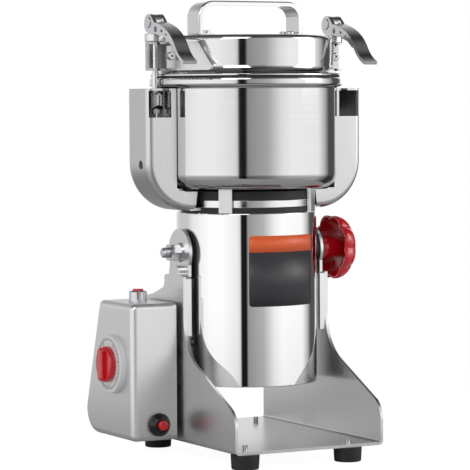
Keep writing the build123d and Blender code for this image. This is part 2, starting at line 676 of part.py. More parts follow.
def coil(side, clearance=0.0):
    """One field coil: a saddle loop round a pole, its legs passing through the core."""
    c = clearance
    ring = tube(50 + c, 37 - c, ARMATURE_LOW - 8 - c, ARMATURE_HIGH + 7 + c)
    wide = wedge(52, ring_height=120)
    slim = wedge(40, ring_height=ARMATURE_HIGH - ARMATURE_LOW - 2 * c)
    loop = (ring & wide) - slim
    return turn_about_z(loop, 90 if side > 0 else -90)


def wedge(half_angle, ring_height):
    """Sector about +X used to trim the coils."""
    reach = 80
    a = radians(half_angle)
    face = make_face(Polyline((0, 0), (reach * cos(a), -reach * sin(a)), (reach * 1.2, 0),
                              (reach * cos(a), reach * sin(a)), close=True))
    middle = (ARMATURE_LOW + ARMATURE_HIGH) / 2
    return Pos(0, 0, middle - ring_height / 2) * extrude(face, ring_height)


def stator_core():
    """Laminated core with slots for the coil legs."""
    core = tube(CORE_R, STATOR_IN_R, ARMATURE_LOW, ARMATURE_HIGH)
    for side in SIDES:
        core -= coil(side, clearance=LOOSE)
    return core


def brush_holder(side):
    """Holder with its post up to the upper bracket."""
    middle = (COMMUTATOR_LOW + COMMUTATOR_HIGH) / 2
    holder = block(COMMUTATOR_R + 2, 44, -6, 6, middle - 5, middle + 5)
    holder += block(HOUSING_LIP_R - 10, HOUSING_LIP_R - 2, -6, 6, middle, RING_LOW)
    holder -= block(COMMUTATOR_R + 1, 42, -3.2, 3.2, middle - 3.7, middle + 3.7)
    return turn_about_z(holder, 90 * side)


def carbon_brush(side):
    middle = (COMMUTATOR_LOW + COMMUTATOR_HIGH) / 2
    brush = block(COMMUTATOR_R - 1, 36, -3, 3, middle - 3.5, middle + 3.5)
    return turn_about_z(brush - rod_z(COMMUTATOR_R + LOOSE, middle - 9, middle + 9), 90 * side)


def bowl_pillar(i):
    """Upright between the housing top and the bowl's bottom."""
    post = block(RING_R + SNUG, HOUSING_R - 0.4, -PILLAR_WIDTH / 2, PILLAR_WIDTH / 2, HOUSING_TOP, BOWL_BOTTOM)
    post -= rod_z(RING_R + SNUG, HOUSING_TOP - 1, BOWL_BOTTOM + 1)
    post = post & rod_z(HOUSING_R - 0.2, HOUSING_TOP, BOWL_BOTTOM)
    return turn_about_z(post, 45 + i * 90)


# ---------------------------------------------------------------- bowl and lid
def grinding_bowl():
    """Drawn bowl with a round lower corner and a rolled rim."""
    inner_r = BOWL_R - BOWL_WALL
    floor_top = BOWL_BOTTOM + BOWL_WALL
    hole = SHAFT_SEAL_R + SNUG
    bowl = turned([
        (hole, BOWL_BOTTOM, 0), (BOWL_R, BOWL_BOTTOM, BOWL_CORNER_R), (BOWL_R, RIM_BOTTOM, 1.5),
        (RIM_R, RIM_BOTTOM + 0.6, 2.6), (RIM_R, RIM_TOP, 2.6), (inner_r, RIM_TOP, 1.0),
        (inner_r, floor_top, BOWL_CORNER_R - BOWL_WALL), (hole, floor_top, 0),
    ])
    return bowl


SHAFT_SEAL_R = 15.0


def shaft_seal():
    """Seal and its seat between the bracket hub and the bowl's floor."""
    seal = turned([
        (SHAFT_R + RUN, RING_LOW + 3.5, 0), (SHAFT_SEAL_R + 6, RING_LOW + 3.5, 0),
        (SHAFT_SEAL_R + 6, BOWL_BOTTOM, 0), (SHAFT_SEAL_R, BOWL_BOTTOM, 0),
        (SHAFT_SEAL_R, BOWL_BOTTOM + BOWL_WALL + 3.0, 1.0), (SHAFT_R + RUN, BOWL_BOTTOM + BOWL_WALL + 3.0, 0),
    ])
    return seal


def lid_gasket():
    return tube(LID_FLANGE_R - 1.0, BOWL_R - BOWL_WALL, RIM_TOP, LID_BOTTOM)


def lid_blank(grow=0.0):
    """Solid with the lid's outer form: round upper edge, upright side, flared foot."""
    side = LID_R + grow
    foot = LID_FLANGE_R + grow
    return turned([
        (0, LID_BOTTOM, 0), (0, LID_TOP + grow, 0), (side, LID_TOP + grow, LID_EDGE_R),
        (side, LID_BOTTOM + LID_WALL + grow, FLARE_R - grow), (foot, LID_BOTTOM + LID_WALL - 0.4 + grow, 0.6),
        (foot, LID_BOTTOM, 0),
    ])


def lid():
    """Drawn lid with a skirt inside the bowl."""
    inside = LID_R - LID_WALL
    hollow = turned([
        (0, LID_BOTTOM - 1, 0), (0, LID_TOP - LID_WALL, 0), (inside, LID_TOP - LID_WALL, LID_EDGE_R - LID_WALL),
        (inside, LID_BOTTOM - 1, 0),
    ])
    shell = lid_blank() - hollow
    skirt_r = BOWL_R - BOWL_WALL - LOOSE
    skirt = tube(skirt_r, skirt_r - LID_WALL, LID_BOTTOM - 9.0, LID_BOTTOM)
    ledge = tube(skirt_r, inside - 2.0, LID_BOTTOM - LID_WALL, LID_BOTTOM)
    part = shell + skirt + ledge
    for x, y in handle_screw_places():
        part -= rod_z(HANDLE_SCREW_R + SNUG, LID_TOP - 4, LID_TOP + 1, x, y)
    return part


HANDLE_SCREW_R = 2.5


def handle_screw_places():
    x = HANDLE_HALF_SPAN - HANDLE_FOOT * 0.62
    return [(side * x, y) for side in SIDES for y in (-HANDLE_WIDTH / 4, HANDLE_WIDTH / 4)]


def lid_handle():
    """Flat strap bent into an arch, its feet turned in on the lid."""
    t = HANDLE_STRAP
    half = HANDLE_HALF_SPAN
    inner_r = HANDLE_CORNER_R - t
    foot = half - HANDLE_FOOT
    outline = [
        (foot, LID_TOP, 0), (half, LID_TOP, 2.5), (half, HANDLE_TOP, HANDLE_CORNER_R),
        (-half, HANDLE_TOP, HANDLE_CORNER_R), (-half, LID_TOP, 2.5), (-foot, LID_TOP, 0),
        (-foot, LID_TOP + 2.0, 0.5), (-half + t, LID_TOP + 2.0, 1.0), (-half + t, HANDLE_TOP - t, inner_r),
        (half - t, HANDLE_TOP - t, inner_r), (half - t, LID_TOP + 2.0, 1.0), (foot, LID_TOP + 2.0, 0.5),
    ]
    strap = slab_y(outline, -HANDLE_WIDTH / 2, HANDLE_WIDTH / 2)
    top_edges = strap.faces().sort_by(Axis.Z)[-1].edges().filter_by(Axis.X)
    strap = fillet(top_edges, 1.4)
    for x, y in handle_screw_places():
        strap -= rod_z(HANDLE_SCREW_R + SNUG, LID_TOP - 1, LID_TOP + 3, x, y)
    return strap


def handle_screw(x, y):
    head = rod_z(3.6, LID_TOP + 2.0, LID_TOP + 4.4, x, y)
    head = fillet(head.edges().sort_by(Axis.Z)[-1], 1.0)
    return head + rod_z(HANDLE_SCREW_R, LID_TOP - LID_WALL - 4.0, LID_TOP + 2.0, x, y)


def lid_ear(side):
    """Welded latch ear: saddle on the lid, slotted flanges, back web and a front tab."""
    t = EAR_SHEET
    saddle_r = LID_R + 1.6
    saddle = tube(saddle_r, LID_R, EAR_BOTTOM, EAR_TOP)
    cut = slab_y([(0, EAR_BOTTOM - 1, 0), (100, EAR_BOTTOM - 1, 0), (100, EAR_TOP + 1, 0), (0, EAR_TOP + 1, 0)], -60, 60)
    wing = slab_x([(-50, EAR_BOTTOM, 3), (-38, EAR_TOP, 3), (38, EAR_TOP, 3), (50, EAR_BOTTOM, 3)], 0, 100)
    ear = saddle & cut & wing
    flange = [
        (LID_R - 10, EAR_LIP_Y, 0), (EAR_OUTER_X, EAR_LIP_Y, 1.5), (EAR_OUTER_X, EAR_BACK_Y, 6.0),
        (LID_R - 10, EAR_BACK_Y, 0),
    ]
    web = [
        (LID_R - 10, EAR_BACK_Y - t, 0), (EAR_OUTER_X - t, EAR_BACK_Y - t, 4.2), (EAR_OUTER_X - t, 1.5, 0),
        (EAR_OUTER_X, 1.5, 0), (EAR_OUTER_X, EAR_BACK_Y, 6.0), (LID_R - 10, EAR_BACK_Y, 0),
    ]
    bracket = slab_z(flange, EAR_TOP - t, EAR_TOP) + slab_z(flange, EAR_BOTTOM, EAR_BOTTOM + t)
    bracket += slab_z(web, EAR_BOTTOM, EAR_TOP)
    tab = block(LID_R - 4, LATCH_X - ROD_R - 0.9, TAB_FRONT_Y, TAB_FRONT_Y + t, EAR_BOTTOM + t, EAR_TOP - 3.4)
    bracket += tab
    notch = rod_z(ROD_R + SLIP, EAR_BOTTOM - 1, EAR_TOP + 1, LATCH_X, 0)
    notch += block(LATCH_X - ROD_R - SLIP, LATCH_X + ROD_R + SLIP, EAR_LIP_Y - 1, 0, EAR_BOTTOM - 1, EAR_TOP + 1)
    ear = ear + bracket - notch - lid_blank(SNUG)
    x, z = ear_screw_place()
    ear -= rod_y(EAR_SCREW_R + SNUG, TAB_FRONT_Y - 1, TAB_FRONT_Y + t + 1, x, z)
    return mirrored(ear, side)


EAR_SCREW_R = 1.8


def ear_screw_place():
    return LATCH_X - 6.6, (EAR_TOP + EAR_BOTTOM) / 2


def ear_screw(side):
    """Pan-head screw in the ear's front tab."""
    x, z = ear_screw_place()
    head = rod_y(3.4, TAB_FRONT_Y - 2.2, TAB_FRONT_Y, x, z)
    head = fillet(head.edges().sort_by(Axis.Y)[0], 0.9)
    nut = rod_y(3.0, TAB_FRONT_Y + EAR_SHEET, TAB_FRONT_Y + EAR_SHEET + 2.0, x, z)
    return mirrored(head + nut + rod_y(EAR_SCREW_R, TAB_FRONT_Y, TAB_FRONT_Y + EAR_SHEET + 2.0, x, z), side)


# ---------------------------------------------------------------- latches
def arm_outline(inset=0.0, reach=0.0):
    """Front view of the J-shaped arm on the +X side."""
    return [
        (ARM_INNER_X - reach, ARM_TOP - inset, 0), (ARM_OUTER_X - inset, ARM_TOP - inset, 0),
        (ARM_OUTER_X - inset, ARM_BOTTOM + inset, ARM_CURVE_R - inset),
        (ARM_END_X + inset, ARM_BOTTOM + inset, 0), (ARM_END_X - 2.0 + inset, ARM_LIMB_TOP + reach, 0),
        (ARM_INNER_X - reach, ARM_LIMB_TOP + reach, 8.0),
    ]


ARM_INNER_X = 72.6


def latch_arm(side):
    """Bent channel arm: outer wall, front and rear walls, top with a rod slot, front window."""
    body = slab_y(arm_outline(), -ARM_HALF, ARM_HALF)
    outer_edges = [e for e in body.edges()
                   if abs(abs(e.center().Y) - ARM_HALF) < 0.01 and outer_side(e.center())]
    body = fillet(outer_edges, ARM_EDGE_R)
    hollow = slab_y(arm_outline(ARM_SHEET, 30.0), -ARM_HALF + ARM_SHEET, ARM_HALF - ARM_SHEET)
    hollow_edges = [e for e in hollow.edges()
                    if abs(abs(e.center().Y) - ARM_HALF + ARM_SHEET) < 0.01 and outer_side(e.center())]
    hollow = fillet(hollow_edges, ARM_EDGE_R - ARM_SHEET)
    arm = body - hollow
    arm -= rod_z(BOWL_R + 2 * LOOSE, BOWL_BOTTOM - 1.0, ARM_TOP + 1)
    arm += block(ARM_TONGUE_INNER_X, ARM_END_X + 4, -ARM_TONGUE_HALF, ARM_TONGUE_HALF, ARM_BOTTOM, RING_LOW)
    slot = rod_z(SLEEVE_R + LOOSE, ARM_TOP - 2 * ARM_SHEET, ARM_TOP + 1, LATCH_X, 0)
    slot += block(LATCH_X - SLEEVE_R - LOOSE, LATCH_X + SLEEVE_R + LOOSE, -ARM_HALF - 1, 0,
                  ARM_TOP - 2 * ARM_SHEET, ARM_TOP + 1)
    window = block(LATCH_X - SLEEVE_R - LOOSE - 1.6, ARM_OUTER_X - ARM_SHEET, -ARM_HALF - 1,
                   -ARM_HALF + 2 * ARM_SHEET, WINDOW_LOW, ARM_TOP - ARM_SHEET)
    arm = arm - slot - window
    arm -= rod_x(ARM_HOLE_R, ARM_OUTER_X - 3, ARM_OUTER_X + 1, ARM_HOLE_Y, ARM_HOLE_Z)
    arm -= tube(RING_R + 40, RING_R + SNUG, RING_LOW, RING_HIGH + 0.0) & rod_z(RING_R + 1, 0, RING_HIGH)
    for x, y in bracket_bolt_places():
        arm -= rod_z(BRACKET_BOLT_R + SLIP, ARM_BOTTOM - 1, RING_LOW + 1, x, y)
    return mirrored(arm, side)


ARM_TONGUE_INNER_X = 40.5
ARM_HOLE_R = 3.0
ARM_HOLE_Y = -6.0
ARM_HOLE_Z = 241.5


def outer_side(point):
    """Whether an edge's middle lies on the arm's outer wall or its curve."""
    return point.X > ARM_OUTER_X - ARM_CURVE_R * 0.45 and point.Z < ARM_TOP - 3


def arm_rivet(side):
    """Screw in the outer wall of each arm."""
    head = rod_x(ARM_HOLE_R - SNUG, ARM_OUTER_X - ARM_SHEET - 2.0, ARM_OUTER_X - 1.2, ARM_HOLE_Y, ARM_HOLE_Z)
    return mirrored(head, side)


def latch_rod(side):
    """Rod with its eye and sleeve, the barrel it is screwed into, its end nut and the saddle washer."""
    rod = rod_z(ROD_R, BARREL_Z - BARREL_R - 4.0, LEVER_PIVOT_Z, LATCH_X, 0)
    rod += rod_z(SLEEVE_R, ARM_TOP + LOOSE, ARM_TOP + LOOSE + SLEEVE_H, LATCH_X, 0)
    rod += rod_x(EYE_R, LATCH_X - EYE_WIDTH / 2, LATCH_X + EYE_WIDTH / 2, 0, LEVER_PIVOT_Z)
    rod -= rod_x(PIN_R + RUN, LATCH_X - EYE_WIDTH, LATCH_X + EYE_WIDTH, 0, LEVER_PIVOT_Z)
    barrel = rod_x(BARREL_R, LATCH_X - BARREL_TURN_R, LATCH_X + BARREL_TURN_R, 0, BARREL_Z)
    barrel = barrel & rod_z(BARREL_TURN_R, BARREL_Z - BARREL_R, BARREL_Z + BARREL_R, LATCH_X, 0)
    barrel -= rod_z(ROD_R + SNUG, BARREL_Z - 20, BARREL_Z + 20, LATCH_X, 0)
    nut = rod_z(ROD_R + 1.8, BARREL_Z - BARREL_R - 3.4, BARREL_Z - BARREL_R, LATCH_X, 0)
    nut -= rod_z(ROD_R + SNUG, BARREL_Z - 30, BARREL_Z, LATCH_X, 0)
    washer_low = EAR_TOP + LOOSE
    washer = rod_z(WASHER_R, washer_low, washer_low + WASHER_H, LATCH_X, 0)
    washer = chamfer(washer.edges(), 0.5)
    washer -= rod_z(ROD_R + SNUG, washer_low - 1, washer_low + WASHER_H + 1, LATCH_X, 0)
    return [mirrored(s, side) for s in (rod, barrel, nut, washer)]


LEVER_T = 2.8
# middle line of the lever's strap, and the cheeks' outline and holes, all measured from the pin: (y, z, ...)
LEVER_LINE = [(-12.0, -1.6), (-23.0, -4.6), (-32.0, -8.2), (-39.5, -12.8), (-45.2, -18.2), (-49.6, -23.8),
              (-55.4, -29.2), (-63.5, -33.8)]
CHEEK_LINE = [(-11.0, -0.5, 3.0), (-23.0, -4.0, 0), (-32.0, -7.6, 0), (-39.5, -12.2, 0), (-45.5, -18.5, 0),
              (-43.5, -20.8, 0), (-36.0, -15.4, 0), (-24.0, -11.6, 3.0), (-12.0, -9.6, 3.0)]
CHEEK_HOLES = [(-13.4, -5.9, 2.5), (-24.7, -6.9, 2.0), (-32.8, -10.3, 1.5)]


def strap_face(points, thickness):
    """Face of even thickness along a smooth curve in the YZ plane."""
    curve = Spline(*points)
    upper, lower = [], []
    for i in range(9):
        place = curve @ (i / 8)
        along = curve % (i / 8)
        offset_by = Vector(-along.Y, along.X) * (thickness / 2)
        upper.append(place + offset_by)
        lower.append(place - offset_by)
    top = Spline(*upper)
    bottom = Spline(*lower)
    ends = [Line(upper[0], lower[0]), Line(upper[-1], lower[-1])]
    return make_face([top, bottom] + ends)


def cam_lever(side):
    """Forked cam lever: two drilled cheeks and an S-shaped tail."""
    half = EYE_WIDTH / 2 + LOOSE + CHEEK
    pin_z = LEVER_PIVOT_Z
    line = [(y, pin_z + z) for y, z in LEVER_LINE]
    tail = extrude(Plane.YZ.offset(LATCH_X - half) * strap_face(line, LEVER_T), 2 * half)
    cheek_shape = [(-CAM_R * 0.55, pin_z + 6.2, 2.0)] + [(y, pin_z + z, r) for y, z, r in CHEEK_LINE]
    cheek_shape.append((-CAM_R * 0.3, pin_z - CAM_LIFT - CAM_R * 0.92, 0))
    lever = tail
    for start in (LATCH_X - half, LATCH_X + half - CHEEK):
        cheek = slab_x(cheek_shape, start, start + CHEEK)
        cheek += rod_x(CAM_R, start, start + CHEEK, 0, pin_z - CAM_LIFT)
        for y, z, r in CHEEK_HOLES:
            cheek -= rod_x(r, start - 1, start + CHEEK + 1, y, pin_z + z)
        lever += cheek
    lever -= rod_x(PIN_R + SNUG, LATCH_X - 20, LATCH_X + 20, 0, pin_z)
    lever -= rod_x(EYE_R + LOOSE, LATCH_X - half + CHEEK, LATCH_X + half - CHEEK, 0, pin_z)
    return mirrored(lever, side)


def lever_pin(side):
    half = EYE_WIDTH / 2 + LOOSE + CHEEK
    pin = rod_x(PIN_R, LATCH_X - half - 0.6, LATCH_X + half + 0.6, 0, LEVER_PIVOT_Z)
    return mirrored(pin - rod_x(PIN_R * 0.45, 0, 2 * LATCH_X, 0, LEVER_PIVOT_Z), side)


# ---------------------------------------------------------------- rotor
def motor_shaft():
    shaft = rod_z(SHAFT_R, SHAFT_BOTTOM, UPPER_BLADE_Z + BLADE_T + 12.0)
    return chamfer(shaft.edges().sort_by(Axis.Z)[-1], 0.8)


def armature():
    """Slotted core with its winding ends."""
    core = tube(ARMATURE_R, SHAFT_R + SNUG, ARMATURE_LOW, ARMATURE_HIGH)
    for i in range(12):
        slot = block(ARMATURE_R - 6, ARMATURE_R + 1, -1.2, 1.2, ARMATURE_LOW - 1, ARMATURE_HIGH + 1)
        core -= turn_about_z(slot, i * 30)
    ends = tube(ARMATURE_R - 6, SHAFT_R + SNUG, ARMATURE_LOW - 6, ARMATURE_LOW)
    ends += tube(ARMATURE_R - 6, SHAFT_R + SNUG, ARMATURE_HIGH, COMMUTATOR_LOW)
    return core + ends


def commutator():
    return tube(COMMUTATOR_R, SHAFT_R + SNUG, COMMUTATOR_LOW, COMMUTATOR_HIGH)


def cooling_fan():
    """Radial fan: hub, back disc and curved blades."""
    fan = tube(10.0, SHAFT_R + SNUG, FAN_Z, FAN_Z + FAN_H) + tube(FAN_R, SHAFT_R + SNUG, FAN_Z, FAN_Z + 1.6)
    for i in range(9):
        blade = block(14, FAN_R - 2, -0.8, 0.8, FAN_Z + 1.6, FAN_Z + FAN_H)
        fan += turn_about_z(Pos(0, -6, 0) * blade, i * 40)
    return fan


def spacer_ring(z0, z1):
    return tube(12.0, SHAFT_R + SNUG, z0, z1)


def grinding_blade(reach, z, droop):
    """Two-armed blade with swept, ground tips and bent-down or bent-up ends."""
    half = 11.0
    tip = 5.0
    arm = [
        (0, -half, 0), (reach * 0.55, -half * 0.9, 6), (reach, tip - 11.0, 1), (reach, tip - 5.0, 1),
        (reach * 0.5, half, 10), (0, half, 0),
    ]
    flat = slab_z(arm, z, z + BLADE_T) + turn_about_z(slab_z(arm, z, z + BLADE_T), 180)
    flat = flat & rod_z(reach, z - 1, z + BLADE_T + 1)
    fin = slab_x([(-6.0, z, 0), (0.0, z, 0), (-1.0, z + droop, 0), (-5.0, z + droop, 0)], reach - 8.0, reach - 6.0)
    blade = flat + fin + turn_about_z(fin, 180)
    return blade - rod_z(SHAFT_R + SNUG, z - 1, z + BLADE_T + 1)


def blade_nut():
    low = UPPER_BLADE_Z + BLADE_T
    nut = Pos(0, 0, low) * extrude(RegularPolygon(10.0, 6, major_radius=False), 8.0)
    return nut - rod_z(SHAFT_R + SNUG, low - 1, low + 9)


# ---------------------------------------------------------------- assembly
node("base_frame", base_frame())
node("rubber_feet", *[rubber_foot(x, y) for x, y in foot_places()])
node("foot_screws", *[foot_screw(x, y) for x, y in foot_places()])
node("box_cover", box_cover())
node("box_back_plate", box_back_plate())
node("box_spacers", *[box_spacer(y, z) for y, z in box_screw_places()])
node("box_screws", *[box_screw(y, z) for y, z in box_screw_places()])
node("timer_mechanism", timer_mechanism())
node("timer_dial", timer_dial())
node("timer_knob", timer_knob())
node("power_switch", power_switch())
node("power_collar", power_collar())
node("power_button", power_button())
node("overload_breaker", overload_breaker())
node("overload_bezel", overload_bezel())
node("overload_button", overload_button())
node("cable_gland", cable_gland())
node("pivot_bolt", pivot_bolt())
node("pivot_nuts", *pivot_nuts())
node("clamp_knob", clamp_knob())
node("clamp_stud", clamp_stud())

node("motor_housing", motor_housing())
node("bottom_cover", bottom_cover())
node("pivot_bosses", *[pivot_boss(side) for side in SIDES])
node("thrust_washers", *[thrust_washer(side) for side in SIDES])
node("upper_bracket", upper_bracket())
node("bracket_bolts", *[bracket_bolt(x, y) for x, y in bracket_bolt_places()])
node("seal_rings", *seal_rings())
node("lower_bracket", lower_bracket())
node("motor_bearings", bearing(LOWER_BEARING_Z), bearing(UPPER_BEARING_Z))
node("stator_core", stator_core())
node("field_coils", *[coil(side) for side in SIDES])
node("brush_holders", *[brush_holder(side) for side in SIDES])
node("carbon_brushes", *[carbon_brush(side) for side in SIDES])
node("bowl_pillars", *[bowl_pillar(i) for i in range(4)])
node("grinding_bowl", grinding_bowl())
node("shaft_seal", shaft_seal())
node("lid", lid())
node("lid_gasket", lid_gasket())
node("lid_handle", lid_handle())
node("handle_screws", *[handle_screw(x, y) for x, y in handle_screw_places()])
node("lid_ears", *[lid_ear(side) for side in SIDES])
node("ear_screws", *[ear_screw(side) for side in SIDES])
node("latch_arm_left", latch_arm(-1))
node("latch_arm_right", latch_arm(1))
node("arm_screws", *[arm_rivet(side) for side in SIDES])

node("motor_shaft", motor_shaft())
node("armature", armature())
node("commutator", commutator())
node("cooling_fan", cooling_fan())
node("blade_spacers", spacer_ring(BOWL_BOTTOM + BOWL_WALL + 3.0 + LOOSE, LOWER_BLADE_Z),
     spacer_ring(LOWER_BLADE_Z + BLADE_T, UPPER_BLADE_Z))
node("lower_blade", grinding_blade(LOWER_BLADE_R, LOWER_BLADE_Z, 7.0))
node("upper_blade", turn_about_z(grinding_blade(UPPER_BLADE_R, UPPER_BLADE_Z, 9.0), 90))
node("blade_nut", blade_nut())

for side, word in zip(SIDES, ("left", "right")):
    node(f"latch_rod_{word}", *latch_rod(side))
    node(f"cam_lever_{word}", cam_lever(side))
    node(f"lever_pin_{word}", lever_pin(side))

boxes = [solid.bounding_box() for solids in nodes.values() for solid in solids]
middle_x = (min(b.min.X for b in boxes) + max(b.max.X for b in boxes)) / 2
middle_y = (min(b.min.Y for b in boxes) + max(b.max.Y for b in boxes)) / 2
ORIGIN = Pos(-middle_x, -middle_y, 0)

os.makedirs("parts", exist_ok=True)
for name, shapes in nodes.items():
    solids = [solid for shape in shapes for solid in shape.solids()]
    export_step(ORIGIN * Compound(solids), f"parts/{name}.step")
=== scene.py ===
import json
import math

import bmesh
import bpy
from mathutils import Matrix, Vector


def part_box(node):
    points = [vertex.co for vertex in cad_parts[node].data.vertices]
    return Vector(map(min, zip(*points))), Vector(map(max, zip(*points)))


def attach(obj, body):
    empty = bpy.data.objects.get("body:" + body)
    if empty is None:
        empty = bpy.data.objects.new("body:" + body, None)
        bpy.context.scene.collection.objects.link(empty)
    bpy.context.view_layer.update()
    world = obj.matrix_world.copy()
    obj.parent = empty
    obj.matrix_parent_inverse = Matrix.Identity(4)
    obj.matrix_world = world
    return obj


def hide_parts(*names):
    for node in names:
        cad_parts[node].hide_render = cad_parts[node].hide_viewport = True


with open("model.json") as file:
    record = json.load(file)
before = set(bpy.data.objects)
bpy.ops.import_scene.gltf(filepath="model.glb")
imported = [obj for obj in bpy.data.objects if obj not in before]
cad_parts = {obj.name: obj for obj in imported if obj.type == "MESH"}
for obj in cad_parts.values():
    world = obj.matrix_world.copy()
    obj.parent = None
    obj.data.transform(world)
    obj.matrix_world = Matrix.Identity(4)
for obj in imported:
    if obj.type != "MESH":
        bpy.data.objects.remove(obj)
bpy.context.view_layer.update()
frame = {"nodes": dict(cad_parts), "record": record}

NODES = frame["nodes"]
MM = 0.001
SAME_PLACE = 1e-6

# ------------------------------------------------------------------ where things are, read from the frame
housing_low, housing_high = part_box("motor_housing")
AXIS_X = (housing_low.x + housing_high.x) / 2 / MM
AXIS_Y = (housing_low.y + housing_high.y) / 2 / MM
HOUSING_R = (housing_high.x - housing_low.x) / 2 / MM
HOUSING_HIGH = housing_high.z / MM

# a rotation that takes +Z to the side named
TO_LEFT = Matrix.Rotation(math.radians(-90), 3, "Y")
TO_RIGHT = Matrix.Rotation(math.radians(90), 3, "Y")


def millimetres(node):
    """Lowest and highest corner of a CAD node."""
    low_corner, high_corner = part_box(node)
    return low_corner / MM, high_corner / MM


# ------------------------------------------------------------------ shader nodes
# the stretch of a noise's values over which colour and roughness change
NOISE_LOW, NOISE_HIGH = 0.3, 0.7


def new_material(name):
    mat = bpy.data.materials.new(name)
    mat.use_nodes = True
    tree = mat.node_tree
    shader = next(n for n in tree.nodes if n.type == "BSDF_PRINCIPLED")
    return mat, tree, shader


def add(tree, kind, **settings):
    node = tree.nodes.new(kind)
    for name, value in settings.items():
        setattr(node, name, value)
    return node


def feed(tree, target, source):
    """Link a socket to an input, or set the input to a plain value."""
    if isinstance(source, bpy.types.NodeSocket):
        tree.links.new(source, target)
    else:
        target.default_value = source


def maths(tree, operation, *sources):
    node = add(tree, "ShaderNodeMath", operation=operation)
    for place, source in enumerate(sources):
        feed(tree, node.inputs[place], source)
    return node.outputs[0]


def mixed(tree, factor, first, second, blend_type="MIX"):
    """Two colours mixed; each input is a socket or a plain value."""
    node = add(tree, "ShaderNodeMix", data_type="RGBA", blend_type=blend_type)
    for name, source in (("Factor", factor), ("A", first), ("B", second)):
        feed(tree, node.inputs[name], source)
    return node.outputs["Result"]


def split_coords(tree, output):
    """The three axes of one kind of texture coordinate."""
    coords = add(tree, "ShaderNodeTexCoord")
    split = add(tree, "ShaderNodeSeparateXYZ")
    tree.links.new(coords.outputs[output], split.inputs["Vector"])
    return [split.outputs[axis] for axis in "XYZ"]


def scaled(tree, source, scale):
    mapping = add(tree, "ShaderNodeMapping")
    mapping.inputs["Scale"].default_value = scale
    tree.links.new(source, mapping.inputs["Vector"])
    return mapping.outputs["Vector"]


def stretched_coords(tree, scale):
    """Object coordinates in metres, each times its scale."""
    coords = add(tree, "ShaderNodeTexCoord")
    return scaled(tree, coords.outputs["Object"], scale)


def polar_coords(tree, scale):
    """Coordinates round the motor axis: angle, radius and height, each times its scale."""
    x, y, z = split_coords(tree, "Object")
    across = maths(tree, "SUBTRACT", x, AXIS_X * MM)
    along = maths(tree, "SUBTRACT", y, AXIS_Y * MM)
    squares = [maths(tree, "MULTIPLY", side, side) for side in (across, along)]
    join = add(tree, "ShaderNodeCombineXYZ")
    tree.links.new(maths(tree, "ARCTAN2", along, across), join.inputs["X"])
    tree.links.new(maths(tree, "SQRT", maths(tree, "ADD", *squares)), join.inputs["Y"])
    tree.links.new(z, join.inputs["Z"])
    return scaled(tree, join.outputs["Vector"], scale)


def noise_texture(tree, vector, detail, roughness):
    noise = add(tree, "ShaderNodeTexNoise")
    noise.inputs["Scale"].default_value = 1.0
    noise.inputs["Detail"].default_value = detail
    noise.inputs["Roughness"].default_value = roughness
    tree.links.new(vector, noise.inputs["Vector"])
    return noise.outputs["Fac"]


def ramp(tree, source, stops):
    """Colour ramp through (place, colour) stops."""
    node = add(tree, "ShaderNodeValToRGB")
    elements = node.color_ramp.elements
    for element, (place, colour) in zip(elements, (stops[0], stops[-1])):
        element.position = place
        element.color = (*colour, 1)
    for place, colour in stops[1:-1]:
        elements.new(place).color = (*colour, 1)
    tree.links.new(source, node.inputs["Fac"])
    return node.outputs["Color"]


def spread(tree, source, low_value, high_value, from_low, from_high):
    """One range of values mapped on to another."""
    node = add(tree, "ShaderNodeMapRange")
    node.inputs["From Min"].default_value = from_low
    node.inputs["From Max"].default_value = from_high
    node.inputs["To Min"].default_value = low_value
    node.inputs["To Max"].default_value = high_value
    tree.links.new(source, node.inputs["Value"])
    return node.outputs["Result"]


def vary(tree, shader, noise, colour, variation, smoothest, roughest):
    """Let the noise vary the colour by a share either way, and the roughness between two values."""
    dark = tuple(c * (1 - variation) for c in colour)
    light = tuple(min(1.0, c * (1 + variation)) for c in colour)
    tree.links.new(ramp(tree, noise, [(NOISE_LOW, dark), (NOISE_HIGH, light)]), shader.inputs["Base Color"])
    tree.links.new(spread(tree, noise, smoothest, roughest, NOISE_LOW, NOISE_HIGH), shader.inputs["Roughness"])


# ------------------------------------------------------------------ materials
POLISH_LIMIT = 0.02
# (detail, roughness) of the noise
METAL_NOISE = (4.0, 0.65)
PLASTIC_NOISE = (3.0, 0.5)
PLASTIC_SPREAD = 0.15
PLASTIC_BUMP_DEPTH = 0.00005
COAT_ROUGHNESS = 0.05


def metal(name, colour, rough, grain, coords, scale, variation):
    """Brushed or polished metal: the grain is a fine noise drawn out along the brushing."""
    mat, tree, shader = new_material(name)
    shader.inputs["Metallic"].default_value = 1.0
    noise = noise_texture(tree, coords(tree, scale), *METAL_NOISE)
    vary(tree, shader, noise, colour, variation, max(POLISH_LIMIT, rough - grain), rough + grain)
    return mat


def plastic(name, colour, rough, variation, scale, bump, coat=0.0):
    """Moulded or printed surface with a fine even grain, and a clear coat where one is asked for."""
    mat, tree, shader = new_material(name)
    noise = noise_texture(tree, stretched_coords(tree, (scale, scale, scale)), *PLASTIC_NOISE)
    smoothest, roughest = rough * (1 - PLASTIC_SPREAD), rough * (1 + PLASTIC_SPREAD)
    vary(tree, shader, noise, colour, variation, smoothest, roughest)
    shader.inputs["Coat Weight"].default_value = coat
    shader.inputs["Coat Roughness"].default_value = COAT_ROUGHNESS
    node = add(tree, "ShaderNodeBump")
    node.inputs["Strength"].default_value = bump
    node.inputs["Distance"].default_value = PLASTIC_BUMP_DEPTH
    tree.links.new(noise, node.inputs["Height"])
    tree.links.new(node.outputs["Normal"], shader.inputs["Normal"])
    return mat


